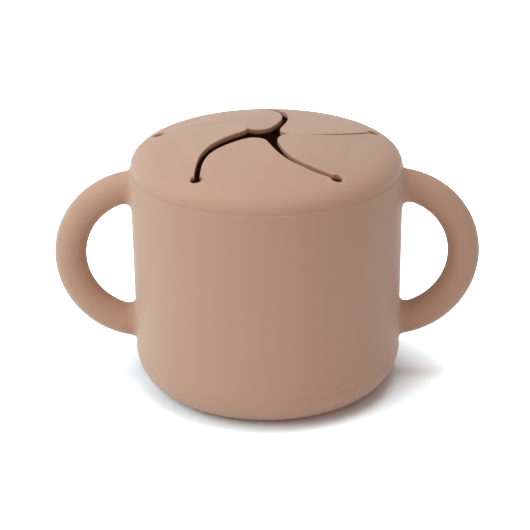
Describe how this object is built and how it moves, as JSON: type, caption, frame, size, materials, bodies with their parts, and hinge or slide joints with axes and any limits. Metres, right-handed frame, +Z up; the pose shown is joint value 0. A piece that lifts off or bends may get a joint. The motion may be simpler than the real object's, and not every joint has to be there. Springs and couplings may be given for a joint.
{
  "type": "toddler snack cup",
  "caption": "Two-handled silicone snack cup with a stretch-on lid whose curved flaps bend in or out around a small hand and then close over the food.",
  "frame": {"origin": "centre of the foot, on the surface that the cup stands on", "axes": "+Z up, the two handles along X, the front towards -Y"},
  "size_m": [0.1356, 0.086, 0.0854],
  "materials": {
    "cup_silicone": "matte moulded silicone, dusty tan",
    "lid_silicone": "matte moulded silicone, dusty tan"
  },
  "bodies": {
    "cup": {"cup_shell": "cup_silicone", "handle_left": "cup_silicone", "handle_right": "cup_silicone"},
    "lid": {"lid_ring": "lid_silicone"},
    "flap_front": {"flap_front": "lid_silicone"},
    "flap_front_right": {"flap_front_right": "lid_silicone"},
    "flap_back_right": {"flap_back_right": "lid_silicone"},
    "flap_back_left": {"flap_back_left": "lid_silicone"},
    "flap_left": {"flap_left": "lid_silicone"}
  },
  "joints": [
    {"name": "lid_lift", "type": "slide", "parent": "cup", "child": "lid", "axis": [0, 0, 1], "range_m": [0, 0.04]},
    {"name": "flap_front_bend", "type": "hinge", "parent": "lid", "child": "flap_front", "pos_m": [0, -0.02913, 0.07938], "axis": [1, 0, 0], "range_deg": [-80, 50], "stiffness_Nm_per_rad": 0.01},
    {"name": "flap_front_right_bend", "type": "hinge", "parent": "lid", "child": "flap_front_right", "pos_m": [0.0277, -0.009, 0.07938], "axis": [0.309, 0.9511, 0], "range_deg": [-80, 50], "stiffness_Nm_per_rad": 0.01},
    {"name": "flap_back_right_bend", "type": "hinge", "parent": "lid", "child": "flap_back_right", "pos_m": [0.01712, 0.02356, 0.07938], "axis": [-0.809, 0.5878, 0], "range_deg": [-80, 50], "stiffness_Nm_per_rad": 0.01},
    {"name": "flap_back_left_bend", "type": "hinge", "parent": "lid", "child": "flap_back_left", "pos_m": [-0.01712, 0.02356, 0.07938], "axis": [-0.809, -0.5878, 0], "range_deg": [-80, 50], "stiffness_Nm_per_rad": 0.01},
    {"name": "flap_left_bend", "type": "hinge", "parent": "lid", "child": "flap_left", "pos_m": [-0.0277, -0.009, 0.07938], "axis": [0.309, -0.9511, 0], "range_deg": [-80, 50], "stiffness_Nm_per_rad": 0.01}
  ]
}
